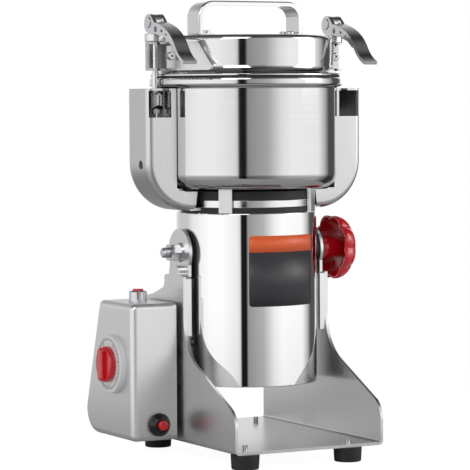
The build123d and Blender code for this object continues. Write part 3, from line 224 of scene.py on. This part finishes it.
# name: (colour, roughness, grain, coordinates, noise scale per axis, variation)
METALS = {
    "base_steel": ((0.74, 0.74, 0.745), 0.30, 0.012, stretched_coords, (500, 60, 500), 0.012),
    "box_steel": ((0.80, 0.80, 0.805), 0.38, 0.03, stretched_coords, (60, 1500, 1500), 0.025),
    "bowl_steel": ((0.63, 0.63, 0.635), 0.075, 0.012, polar_coords, (1.2, 1500, 1500), 0.035),
    "polished_steel": ((0.76, 0.76, 0.765), 0.035, 0.008, polar_coords, (1, 900, 900), 0.01),
    "arm_steel": ((0.62, 0.62, 0.63), 0.30, 0.04, stretched_coords, (1400, 1400, 30), 0.03),
    "ear_steel": ((0.60, 0.60, 0.61), 0.30, 0.06, stretched_coords, (900, 900, 60), 0.04),
    "lever_steel": ((0.72, 0.72, 0.74), 0.27, 0.03, stretched_coords, (900, 150, 900), 0.04),
    "plated_steel": ((0.60, 0.60, 0.62), 0.20, 0.05, stretched_coords, (600, 600, 600), 0.05),
    "cast_aluminium": ((0.70, 0.70, 0.71), 0.14, 0.04, polar_coords, (2, 700, 700), 0.03),
    "machined_steel": ((0.42, 0.42, 0.43), 0.32, 0.06, polar_coords, (2, 900, 900), 0.05),
    "lamination_steel": ((0.22, 0.22, 0.23), 0.5, 0.08, stretched_coords, (60, 60, 2400), 0.3),
    "copper": ((0.72, 0.36, 0.16), 0.35, 0.08, stretched_coords, (900, 900, 300), 0.15),
    "blade_steel": ((0.68, 0.68, 0.69), 0.22, 0.06, stretched_coords, (200, 900, 900), 0.06),
}
# name: (colour, roughness, variation, noise scale, bump, coat where there is one)
PLASTICS = {
    "black_rubber": ((0.012, 0.012, 0.013), 0.55, 0.25, 1400, 0.25),
    "black_plastic": ((0.006, 0.006, 0.007), 0.22, 0.2, 1100, 0.06),
    "carbon": ((0.02, 0.02, 0.02), 0.7, 0.3, 1500, 0.3),
    "dial_grey": ((0.72, 0.73, 0.74), 0.34, 0.03, 1000, 0.06),
    "red_plastic": ((0.60, 0.005, 0.012), 0.16, 0.06, 500, 0.04, 0.6),
}
MAT = {name: metal(name, *look) for name, look in METALS.items()}
MAT.update({name: plastic(name, *look) for name, look in PLASTICS.items()})
LABEL_ORANGE = plastic("label_orange", (0.80, 0.13, 0.035), 0.35, 0.05, 700, 0.03)
LABEL_GREY = plastic("label_grey", (0.045, 0.045, 0.05), 0.38, 0.1, 700, 0.03)
# black for print and dark joints, and painted shade in the screw recesses and the arm holes
PRINT_AND_SHADE_BLACK = plastic("print_and_shade_black", (0.02, 0.02, 0.022), 0.5, 0.1, 900, 0.03)

for part in frame["record"]["subparts"]:
    obj = NODES[part["node"]]
    obj.data.materials.clear()
    obj.data.materials.append(MAT[part["material_slot"]])


# ------------------------------------------------------------------ tools for the small pieces, in millimetres
def new_piece(name, bm, mat, body, smooth=False):
    bmesh.ops.recalc_face_normals(bm, faces=bm.faces)
    mesh = bpy.data.meshes.new(name)
    bm.to_mesh(mesh)
    bm.free()
    if smooth:
        mesh.polygons.foreach_set("use_smooth", [True] * len(mesh.polygons))
    piece = bpy.data.objects.new(name, mesh)
    bpy.context.scene.collection.objects.link(piece)
    mesh.materials.append(mat)
    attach(piece, body)
    return piece


def add_block(bm, centre, half, turn):
    """Box by its centre and half sizes; turn is a rotation about its own centre."""
    corners = []
    for dx in (-1, 1):
        for dy in (-1, 1):
            for dz in (-1, 1):
                corner = turn @ Vector((dx * half[0], dy * half[1], dz * half[2]))
                corners.append(bm.verts.new((Vector(centre) + corner) * MM))
    for a, b, c, d in ((0, 1, 3, 2), (4, 6, 7, 5), (0, 4, 5, 1), (2, 3, 7, 6), (0, 2, 6, 4), (1, 5, 7, 3)):
        bm.faces.new([corners[i] for i in (a, b, c, d)])


def band(r_in, r_out, near, far):
    """Outline of a plain ring for add_lathe."""
    return [(r_in, near), (r_out, near), (r_out, far), (r_in, far)]


def join_rings(bm, first, second):
    """Faces between two closed rings with the same number of corners."""
    for i in range(len(first)):
        n = (i + 1) % len(first)
        bm.faces.new([first[i], second[i], second[n], first[n]])


def add_lathe(bm, outline, place, turn, steps):
    """Closed (radius, along) outline turned round an axis; turn takes +Z to the axis."""
    rings = []
    for i in range(steps):
        angle = 2 * math.pi * i / steps
        ring = []
        for r, along in outline:
            point = turn @ Vector((r * math.cos(angle), r * math.sin(angle), along))
            ring.append(bm.verts.new((Vector(place) + point) * MM))
        rings.append(ring)
    for first, second in zip(rings, rings[1:] + rings[:1]):
        join_rings(bm, first, second)


def rounded_patch(bm, radius, thick, angles, heights, corner, rounded_end, steps=48):
    """Thin sheet on a cylinder round the motor axis, its two corners at the low or high end rounded."""
    first, last = (math.radians(a) for a in angles)
    arc = radius * (last - first)
    columns = []
    for i in range(steps + 1):
        share = i / steps
        angle = first + share * (last - first)
        edge = min(share * arc, arc - share * arc)
        cut = corner - math.sqrt(max(0.0, corner ** 2 - max(0.0, corner - edge) ** 2))
        ends = (heights[0] + (cut if rounded_end == "low" else 0.0),
                heights[1] - (cut if rounded_end == "high" else 0.0))
        column = []
        for r in (radius, radius + thick):
            x = AXIS_X + r * math.cos(angle)
            y = AXIS_Y + r * math.sin(angle)
            column += [bm.verts.new((x * MM, y * MM, z * MM)) for z in ends]
        columns.append(column)
    for p, q in zip(columns, columns[1:]):
        for a, b in ((0, 1), (1, 3), (3, 2), (2, 0)):
            bm.faces.new([p[a], q[a], q[b], p[b]])
    for column in (columns[0], columns[-1]):
        bm.faces.new([column[i] for i in (0, 1, 3, 2)])


def node_islands(node):
    """Middle, lowest and highest corner of each separate solid in a CAD node."""
    obj = NODES[node]
    bm = bmesh.new()
    bm.from_mesh(obj.data)
    bmesh.ops.remove_doubles(bm, verts=bm.verts, dist=SAME_PLACE)
    seen, found = set(), []
    for vert in bm.verts:
        if vert.index in seen:
            continue
        stack, group = [vert], []
        seen.add(vert.index)
        while stack:
            v = stack.pop()
            group.append(obj.matrix_world @ v.co)
            for edge in v.link_edges:
                other = edge.other_vert(v)
                if other.index not in seen:
                    seen.add(other.index)
                    stack.append(other)
        lows = Vector([min(c[k] for c in group) for k in range(3)]) / MM
        highs = Vector([max(c[k] for c in group) for k in range(3)]) / MM
        found.append(((lows + highs) / 2, lows, highs))
    bm.free()
    return found


# ------------------------------------------------------------------ sheet pieces with broken edges
# angles between faces, in degrees: nearly flat edges are dissolved, and a sheet's sharp edges are bevelled
FLAT_BELOW = 0.4
SMOOTH_BELOW = 32
BEVEL_ABOVE = 45


def dress(node, body, slot, width):
    """The CAD node's own mesh with its sheet edges broken by a narrow bevel, shown in its place."""
    obj = NODES[node]
    bm = bmesh.new()
    bm.from_mesh(obj.data)
    bm.transform(obj.matrix_world)
    bmesh.ops.remove_doubles(bm, verts=bm.verts, dist=SAME_PLACE)
    bmesh.ops.dissolve_limit(bm, angle_limit=math.radians(FLAT_BELOW), verts=bm.verts, edges=bm.edges)
    for edge in bm.edges:
        edge.smooth = len(edge.link_faces) == 2 and edge.calc_face_angle(0.0) < math.radians(SMOOTH_BELOW)
    piece = new_piece(node + "_edged", bm, MAT[slot], body, True)
    bevel = piece.modifiers.new("edges", "BEVEL")
    bevel.width = width * MM
    bevel.segments = 2
    bevel.limit_method = "ANGLE"
    bevel.angle_limit = math.radians(BEVEL_ABOVE)
    bevel.harden_normals = True
    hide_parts(node)


dress("base_frame", "base", "base_steel", 0.45)
dress("latch_arm_left", "motor_unit", "arm_steel", 0.25)
dress("latch_arm_right", "motor_unit", "arm_steel", 0.25)
dress("lid_handle", "motor_unit", "polished_steel", 0.35)

# ------------------------------------------------------------------ rating label on the housing
LABEL_ANGLES = (-116.0, -53.0)
LABEL_LOW = HOUSING_HIGH - 76.5
LABEL_SPLIT = HOUSING_HIGH - 32.0
LABEL_HIGH = HOUSING_HIGH - 18.5
LABEL_LIFT = 0.02
LABEL_THICK = 0.18
LABEL_CORNER = 2.0


def label_part(name, mat, heights, rounded_end):
    bm = bmesh.new()
    rounded_patch(bm, HOUSING_R + LABEL_LIFT, LABEL_THICK, LABEL_ANGLES, heights, LABEL_CORNER, rounded_end)
    new_piece(name, bm, mat, "motor_unit", True)


label_part("label_lower", LABEL_GREY, (LABEL_LOW, LABEL_SPLIT), "low")
label_part("label_band", LABEL_ORANGE, (LABEL_SPLIT, LABEL_HIGH), "high")

# ------------------------------------------------------------------ print on the timer dial
dial_low, dial_high = millimetres("timer_dial")
DIAL_CENTRE = (dial_low + dial_high) / 2
DIAL_R = (dial_high.z - dial_low.z) / 2
DIAL_RIM_H = 0.6
DIAL_FACE = dial_low.x + DIAL_RIM_H
TICKS = 31
FIRST_TICK = 120
TICK_STEP = 10
LONG_EVERY = 5
TICK_OUT, LONG_IN, SHORT_IN = DIAL_R * 0.81, DIAL_R * 0.70, DIAL_R * 0.745
LONG_HALF_WIDTH, SHORT_HALF_WIDTH = 0.34, 0.2
TICK_LIFT = 0.03
TICK_HALF_DEPTH = 0.06
DIAL_RING = band(DIAL_R * 0.825, DIAL_R * 0.845, -0.05, 0.08)


def dial_ticks():
    """Scale round the dial, every fifth tick longer and wider."""
    bm = bmesh.new()
    for i in range(TICKS):
        angle = math.radians(FIRST_TICK + i * TICK_STEP)
        is_long = i % LONG_EVERY == 0
        inner = LONG_IN if is_long else SHORT_IN
        half_width = LONG_HALF_WIDTH if is_long else SHORT_HALF_WIDTH
        mid = (inner + TICK_OUT) / 2
        y = DIAL_CENTRE.y - mid * math.cos(angle)
        z = DIAL_CENTRE.z + mid * math.sin(angle)
        half = (TICK_HALF_DEPTH, (TICK_OUT - inner) / 2, half_width)
        add_block(bm, (DIAL_FACE - TICK_LIFT, y, z), half, Matrix.Rotation(-angle, 3, "X"))
    new_piece("dial_ticks", bm, PRINT_AND_SHADE_BLACK, "base")


def dial_ring():
    """Thin printed circle outside the ticks."""
    bm = bmesh.new()
    add_lathe(bm, DIAL_RING, (DIAL_FACE, DIAL_CENTRE.y, DIAL_CENTRE.z), TO_LEFT, steps=96)
    new_piece("dial_ring", bm, PRINT_AND_SHADE_BLACK, "base")


dial_ticks()
dial_ring()

# ------------------------------------------------------------------ thread on the left pivot bolt's free end
bolt_low, bolt_high = millimetres("pivot_bolt")
BOLT_MID = (bolt_low + bolt_high) / 2
BOLT_R = (bolt_high.z - bolt_low.z) / 2
PITCH = 1.25
THREAD_ROOT = BOLT_R - 0.4
THREAD_VALLEY = BOLT_R + 0.02
THREAD_CREST = BOLT_R + 0.32
THREAD_START = bolt_low.x + 1.0
THREAD_END = millimetres("pivot_nuts")[0].x


def bolt_thread():
    """One ridge for each turn of the thread, from the nut to the bolt's end."""
    ridge = [(THREAD_ROOT, 0.0), (THREAD_VALLEY, 0.0), (THREAD_CREST, PITCH * 0.5), (THREAD_VALLEY, PITCH),
             (THREAD_ROOT, PITCH)]
    bm = bmesh.new()
    for i in range(int((THREAD_END - THREAD_START) / PITCH)):
        add_lathe(bm, ridge, (THREAD_END - i * PITCH, BOLT_MID.y, BOLT_MID.z), TO_LEFT, steps=40)
    new_piece("bolt_thread", bm, MAT["plated_steel"], "base", True)


bolt_thread()

# ------------------------------------------------------------------ cross recesses of the screws, drawn as painted shade
# the crosses are painted shade: thin black blocks on the head standing for the shaded hollow of each recess
HANDLE_CROSS = 1.9
EAR_CROSS = 1.7
CROSS_ARM_SHARE = 0.22
CROSS_HALF_DEPTH = 0.04


def painted_shade_cross(bm, centre, axis, size):
    """Black cross on a screw head that faces along the axis: painted shade where its recess is."""
    turn = Vector((0, 0, 1)).rotation_difference(Vector(axis)).to_matrix()
    for spin in (45, 135):
        add_block(bm, centre, (size, size * CROSS_ARM_SHARE, CROSS_HALF_DEPTH),
                  turn @ Matrix.Rotation(math.radians(spin), 3, "Z"))


def screw_recess_painted_shade():
    bm = bmesh.new()
    for mid, _, highs in node_islands("handle_screws"):
        painted_shade_cross(bm, (mid.x, mid.y, highs.z), (0, 0, 1), HANDLE_CROSS)
    for mid, lows, _ in node_islands("ear_screws"):
        painted_shade_cross(bm, (mid.x, lows.y, mid.z), (0, -1, 0), EAR_CROSS)
    new_piece("screw_recess_painted_shade", bm, PRINT_AND_SHADE_BLACK, "motor_unit")


screw_recess_painted_shade()

# ------------------------------------------------------------------ clamp knob
clamp_low, clamp_high = millimetres("clamp_knob")
CLAMP_MID = (clamp_low + clamp_high) / 2
CLAMP_R = (clamp_high.z - clamp_low.z) / 2
CLAMP_FRONT = clamp_high.x
CLAMP_DEEP = 16.0
CLAMP_LOBES = 8
CLAMP_SCALLOP = CLAMP_R * 0.115
CLAMP_LOBE_POWER = 0.8
# (share of the depth from the back, share of the radius, share of the scallop)
CLAMP_OUTSIDE = [(0.0, 0.985, 1.0), (0.02, 1.0, 1.0), (0.22, 0.99, 0.95), (0.45, 0.95, 0.8),
                 (0.65, 0.885, 0.6), (0.82, 0.79, 0.4), (0.93, 0.67, 0.22), (0.985, 0.52, 0.08),
                 (1.0, 0.34, 0.0), (1.0, 0.002, 0.0)]
CLAMP_INSIDE = [(0.86, 0.002, 0.0), (0.85, 0.34, 0.1), (0.80, 0.56, 0.3), (0.68, 0.72, 0.5), (0.5, 0.83, 0.7),
                (0.25, 0.90, 0.9), (0.02, 0.93, 1.0), (0.0, 0.94, 1.0)]
HUB_LOW = clamp_low.x
HUB_HIGH = CLAMP_FRONT - CLAMP_DEEP * 0.14
# (radius, place along the axis)
HUB_OUTLINE = [(5.0, HUB_LOW), (8.6, HUB_LOW), (9.0, HUB_LOW + 0.4), (9.6, HUB_HIGH), (5.0, HUB_HIGH)]


def clamp_ring(bm, deep, reach, scallop, steps=192):
    """One level of the cup, its radius drawn in between the lobes."""
    ring = []
    x = CLAMP_FRONT - CLAMP_DEEP * (1 - deep)
    for i in range(steps):
        angle = 2 * math.pi * i / steps
        wave = abs(math.sin(CLAMP_LOBES * angle / 2)) ** CLAMP_LOBE_POWER
        r = CLAMP_R * reach - CLAMP_SCALLOP * scallop * (1 - wave)
        point = Vector((x, CLAMP_MID.y + r * math.cos(angle), CLAMP_MID.z + r * math.sin(angle)))
        ring.append(bm.verts.new(point * MM))
    return ring


def clamp_knob_cup():
    """Thin scalloped cup with a domed front and a hub, shown in place of the CAD knob."""
    bm = bmesh.new()
    rings = [clamp_ring(bm, *level) for level in CLAMP_OUTSIDE + CLAMP_INSIDE]
    for first, second in zip(rings, rings[1:] + rings[:1]):
        join_rings(bm, first, second)
    add_lathe(bm, HUB_OUTLINE, (0, CLAMP_MID.y, CLAMP_MID.z), TO_RIGHT, steps=48)
    knob_piece = new_piece("clamp_knob_cup", bm, MAT["red_plastic"], "clamp_knob", True)
    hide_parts("clamp_knob")


clamp_knob_cup()

# ------------------------------------------------------------------ lever pins
# a lathe can't close on its own axis, so its plain discs have this radius left open
DISC_BORE = 0.01
PIN_PROUD = 0.6
CORE_SHARE = 0.5
CORE_SUNK = 0.15
JOINT_WIDTH = 0.4
JOINT_HALF_DEPTH = 0.12


def lever_pin(word):
    """The pin's bore closed by a sunk core, and the dark joint round the pin on both cheeks."""
    pin_low, pin_high = millimetres("lever_pin_" + word)
    pin_mid = (pin_low + pin_high) / 2
    pin_r = (pin_high.z - pin_low.z) / 2
    place = (0, pin_mid.y, pin_mid.z)
    core = band(DISC_BORE, pin_r * CORE_SHARE, pin_low.x + CORE_SUNK, pin_high.x - CORE_SUNK)
    bm = bmesh.new()
    add_lathe(bm, core, place, TO_RIGHT, steps=32)
    new_piece("pin_core_" + word, bm, MAT["lever_steel"], "lever_" + word)
    bm = bmesh.new()
    for face in (pin_low.x + PIN_PROUD, pin_high.x - PIN_PROUD):
        joint = band(pin_r, pin_r + JOINT_WIDTH, face - JOINT_HALF_DEPTH, face + JOINT_HALF_DEPTH)
        add_lathe(bm, joint, place, TO_RIGHT, steps=48)
    new_piece("pin_joint_" + word, bm, PRINT_AND_SHADE_BLACK, "lever_" + word)


lever_pin("left")
lever_pin("right")

# ------------------------------------------------------------------ painted shade in the holes of the latch arms
# the disc is painted shade: black where the hole's inside lies in shade
ARM_HOLE_SHADE_DISC = band(DISC_BORE, 3.5, -0.4, 0.05)


def arm_hole_painted_shade():
    """Black discs over the holes in the arms' outer walls: painted shade where the holes' insides are."""
    bm = bmesh.new()
    for mid, _, _ in node_islands("arm_screws"):
        on_right = mid.x > AXIS_X
        arm_low, arm_high = millimetres("latch_arm_right" if on_right else "latch_arm_left")
        face = arm_high.x if on_right else arm_low.x
        outwards = TO_RIGHT if on_right else TO_LEFT
        add_lathe(bm, ARM_HOLE_SHADE_DISC, (face, mid.y, mid.z), outwards, steps=32)
    new_piece("arm_hole_painted_shade", bm, PRINT_AND_SHADE_BLACK, "motor_unit")


arm_hole_painted_shade()

# ------------------------------------------------------------------ studio: floor, in metres
FLOOR_HALF = 0.42
FLOOR_DROP = 0.0004
FLOOR_ROUGHNESS = 0.6
FLOOR_TONE = 0.9
FLOOR_TONE_IN_REFLECTIONS = 0.62
FLOOR_GLOW = 1.36
FLOOR_GLOW_SHARE = 0.7


def grey(brightness):
    return (brightness, brightness, brightness)


def stage_floor():
    """White floor that glows to the camera alone and is darker in reflections."""
    bm = bmesh.new()
    bmesh.ops.create_grid(bm, x_segments=8, y_segments=8, size=FLOOR_HALF)
    mesh = bpy.data.meshes.new("floor")
    bm.to_mesh(mesh)
    bm.free()
    floor = bpy.data.objects.new("floor", mesh)
    bpy.context.scene.collection.objects.link(floor)
    floor.location = (0, 0, -FLOOR_DROP)
    mat, tree, shader = new_material("floor_white")
    path = add(tree, "ShaderNodeLightPath")
    tones = [(*grey(tone), 1) for tone in (FLOOR_TONE, FLOOR_TONE_IN_REFLECTIONS)]
    tone = mixed(tree, path.outputs["Is Glossy Ray"], *tones)
    tree.links.new(tone, shader.inputs["Base Color"])
    shader.inputs["Roughness"].default_value = FLOOR_ROUGHNESS
    glow = add(tree, "ShaderNodeEmission")
    glow.inputs["Strength"].default_value = FLOOR_GLOW
    mix = add(tree, "ShaderNodeMixShader")
    share = maths(tree, "MULTIPLY", path.outputs["Is Camera Ray"], FLOOR_GLOW_SHARE)
    tree.links.new(share, mix.inputs["Fac"])
    tree.links.new(shader.outputs[0], mix.inputs[1])
    tree.links.new(glow.outputs[0], mix.inputs[2])
    out = next(n for n in tree.nodes if n.type == "OUTPUT_MATERIAL")
    tree.links.new(mix.outputs[0], out.inputs["Surface"])
    mesh.materials.append(mat)


stage_floor()

# ------------------------------------------------------------------ studio: walls, as the reflections see them
# (place, brightness) round the object: place 0 is -X, 0.25 is -Y, 0.5 is +X
STUDIO_BANDS = [(0.0, 1.0), (0.06, 1.0), (0.13, 0.85), (0.144, 0.7), (0.149, 0.01), (0.173, 0.01),
                (0.179, 0.3), (0.25, 0.45), (0.30, 0.85), (0.34, 1.0), (0.46, 0.95), (0.50, 0.5),
                (0.53, 0.08), (0.585, 0.08), (0.62, 0.95), (0.70, 0.7), (0.78, 0.55), (0.86, 0.55),
                (0.90, 0.8), (1.0, 1.0)]
# (place, brightness) by height: place 0 is straight down, 0.5 the horizon, 1 straight up
STUDIO_HEIGHTS = [(0.0, 0.3), (0.38, 0.4), (0.46, 1.0), (0.66, 1.0), (0.76, 0.35), (0.88, 0.1), (1.0, 0.1)]
STUDIO_GAIN = 1.3


def brightness_ramp(tree, source, stops):
    return ramp(tree, source, [(place, grey(brightness)) for place, brightness in stops])


def studio_world():
    """Bright and dark walls for the light and the reflections, plain white for the camera."""
    world = bpy.data.worlds.new("studio")
    bpy.context.scene.world = world
    world.use_nodes = True
    tree = world.node_tree
    tree.nodes.clear()
    x, y, z = split_coords(tree, "Generated")
    turn = spread(tree, maths(tree, "ARCTAN2", y, x), 0.0, 1.0, -math.pi, math.pi)
    height = spread(tree, z, 0.0, 1.0, -1.0, 1.0)
    bands = brightness_ramp(tree, turn, STUDIO_BANDS)
    shade = brightness_ramp(tree, height, STUDIO_HEIGHTS)
    walls = mixed(tree, 1.0, bands, shade, "MULTIPLY")
    walls = mixed(tree, 1.0, walls, (*grey(STUDIO_GAIN), 1), "MULTIPLY")
    path = add(tree, "ShaderNodeLightPath")
    seen = mixed(tree, path.outputs["Is Camera Ray"], walls, (*grey(1.0), 1))
    background = add(tree, "ShaderNodeBackground")
    tree.links.new(seen, background.inputs["Color"])
    out = add(tree, "ShaderNodeOutputWorld")
    tree.links.new(background.outputs[0], out.inputs["Surface"])


studio_world()

# ------------------------------------------------------------------ studio: lamps, in metres and watts
LAMP_TARGET = Vector((0, 0, 0.2))


def soft_lamp(name, place, size, power):
    data = bpy.data.lights.new(name, "AREA")
    data.shape = "RECTANGLE"
    data.size, data.size_y = size
    data.energy = power
    lamp = bpy.data.objects.new(name, data)
    bpy.context.scene.collection.objects.link(lamp)
    lamp.location = place
    lamp.rotation_euler = (LAMP_TARGET - Vector(place)).to_track_quat("-Z", "Y").to_euler()


soft_lamp("key", (-1.2, -1.4, 1.5), (1.2, 1.2), 14)
soft_lamp("fill", (1.6, -0.9, 0.9), (1.0, 1.2), 8)

# ------------------------------------------------------------------ camera
# place in millimetres from the foot of the motor axis, angles in degrees, focal length in pixels of the photo
CAMERA = Vector((-1002.6, -1886.0, 289.6))
YAW, PITCH, ROLL = 27.74, 2.91, -0.33
FOCAL = 2551.0
PHOTO_WIDTH = 470.0
SENSOR_WIDTH = 36.0


def place_camera():
    data = bpy.data.cameras.new("camera")
    data.sensor_width = SENSOR_WIDTH
    data.lens = FOCAL / PHOTO_WIDTH * SENSOR_WIDTH
    data.clip_start, data.clip_end = 0.05, 50.0
    camera = bpy.data.objects.new("camera", data)
    bpy.context.scene.collection.objects.link(camera)
    yaw, pitch, roll = (math.radians(angle) for angle in (YAW, PITCH, ROLL))
    ahead = Vector((math.sin(yaw) * math.cos(pitch), math.cos(yaw) * math.cos(pitch), -math.sin(pitch)))
    level = Vector((math.cos(yaw), -math.sin(yaw), 0))
    upright = level.cross(ahead)
    right = level * math.cos(roll) + upright * math.sin(roll)
    up = upright * math.cos(roll) - level * math.sin(roll)
    place = (CAMERA + Vector((AXIS_X, AXIS_Y, 0))) * MM
    turned = Matrix((right, up, -ahead)).transposed().to_4x4()
    camera.matrix_world = Matrix.Translation(place) @ turned
    bpy.context.scene.camera = camera


place_camera()
bpy.context.scene.view_settings.view_transform = "Standard"
